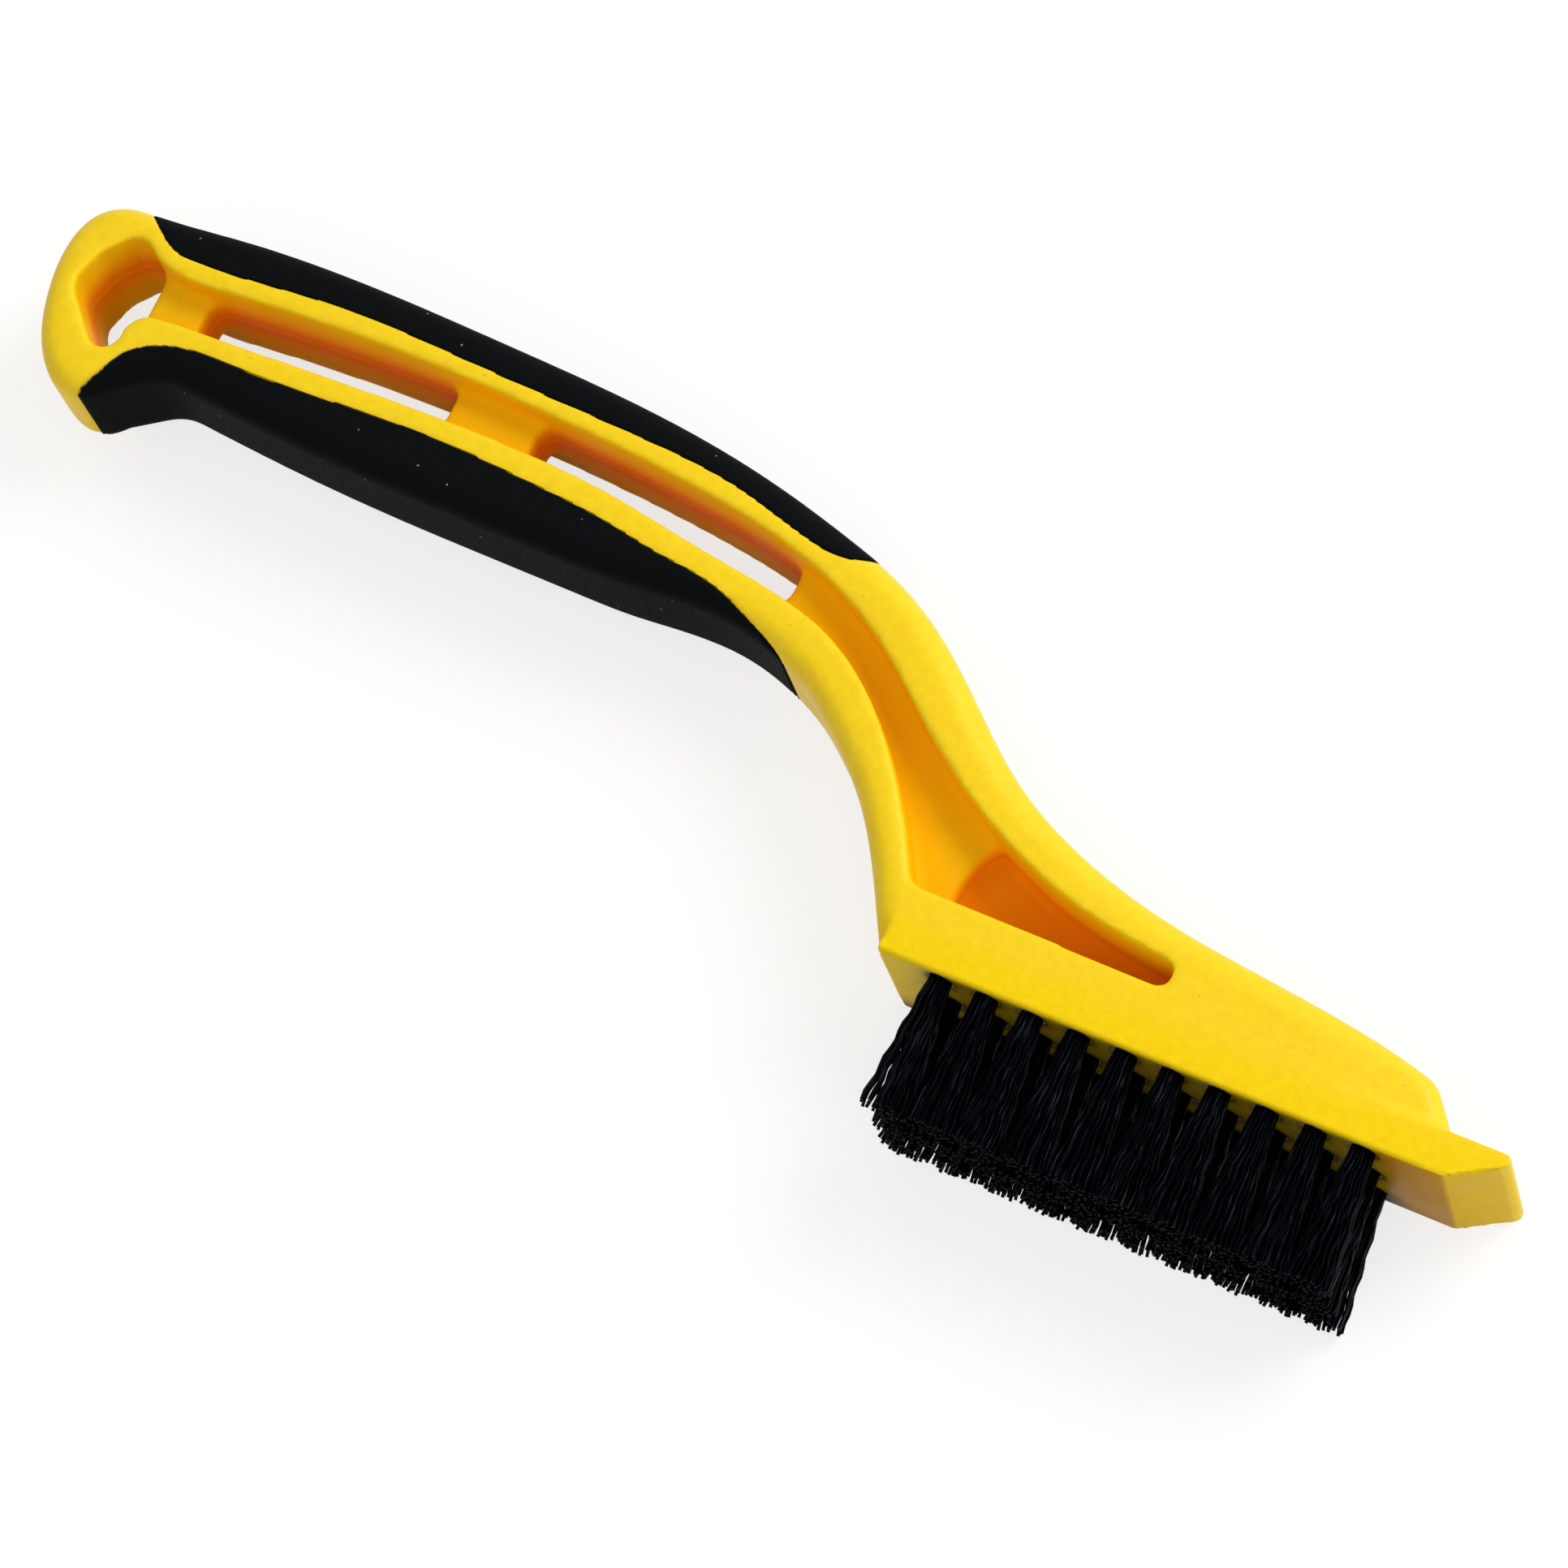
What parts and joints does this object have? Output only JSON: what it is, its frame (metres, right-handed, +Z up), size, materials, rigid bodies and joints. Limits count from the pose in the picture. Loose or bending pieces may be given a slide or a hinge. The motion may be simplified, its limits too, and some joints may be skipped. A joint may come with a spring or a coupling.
{
  "type": "grout brush",
  "caption": "Narrow hand brush with an offset, slotted handle, soft grip pads, a straight head of trimmed crimped bristle tufts and a flat scraper nose.",
  "frame": {"origin": "on the flat side that the brush lies on, in the middle of the bristle field and half way up the solid rail of the head", "axes": "+X along the head, from the handle to the scraper nose; +Y away from the bristles, towards the back of the handle; +Z up, across the width of the brush"},
  "size_m": [0.2279, 0.0767, 0.02],
  "materials": {
    "body_plastic": "yellow moulded polypropylene, finely textured",
    "grip_rubber": "black soft elastomer, matte",
    "bristle_nylon": "black crimped nylon filament",
    "anchor_steel": "bare flat wire"
  },
  "bodies": {
    "root": {"handle_body": "body_plastic", "grip_back_pad": "grip_rubber", "grip_belly_pad": "grip_rubber", "tuft_anchors": "anchor_steel", "tuft_c01_r1": "bristle_nylon", "tuft_c01_r2": "bristle_nylon", "tuft_c01_r3": "bristle_nylon", "tuft_c02_r1": "bristle_nylon", "tuft_c02_r2": "bristle_nylon", "tuft_c02_r3": "bristle_nylon", "tuft_c03_r1": "bristle_nylon", "tuft_c03_r2": "bristle_nylon", "tuft_c03_r3": "bristle_nylon", "tuft_c04_r1": "bristle_nylon", "tuft_c04_r2": "bristle_nylon", "tuft_c04_r3": "bristle_nylon", "tuft_c05_r1": "bristle_nylon", "tuft_c05_r2": "bristle_nylon", "tuft_c05_r3": "bristle_nylon", "tuft_c06_r1": "bristle_nylon", "tuft_c06_r2": "bristle_nylon", "tuft_c06_r3": "bristle_nylon", "tuft_c07_r1": "bristle_nylon", "tuft_c07_r2": "bristle_nylon", "tuft_c07_r3": "bristle_nylon", "tuft_c08_r1": "bristle_nylon", "tuft_c08_r2": "bristle_nylon", "tuft_c08_r3": "bristle_nylon", "tuft_c09_r1": "bristle_nylon", "tuft_c09_r2": "bristle_nylon", "tuft_c09_r3": "bristle_nylon", "tuft_c10_r1": "bristle_nylon", "tuft_c10_r2": "bristle_nylon", "tuft_c10_r3": "bristle_nylon"}
  },
  "joints": []
}
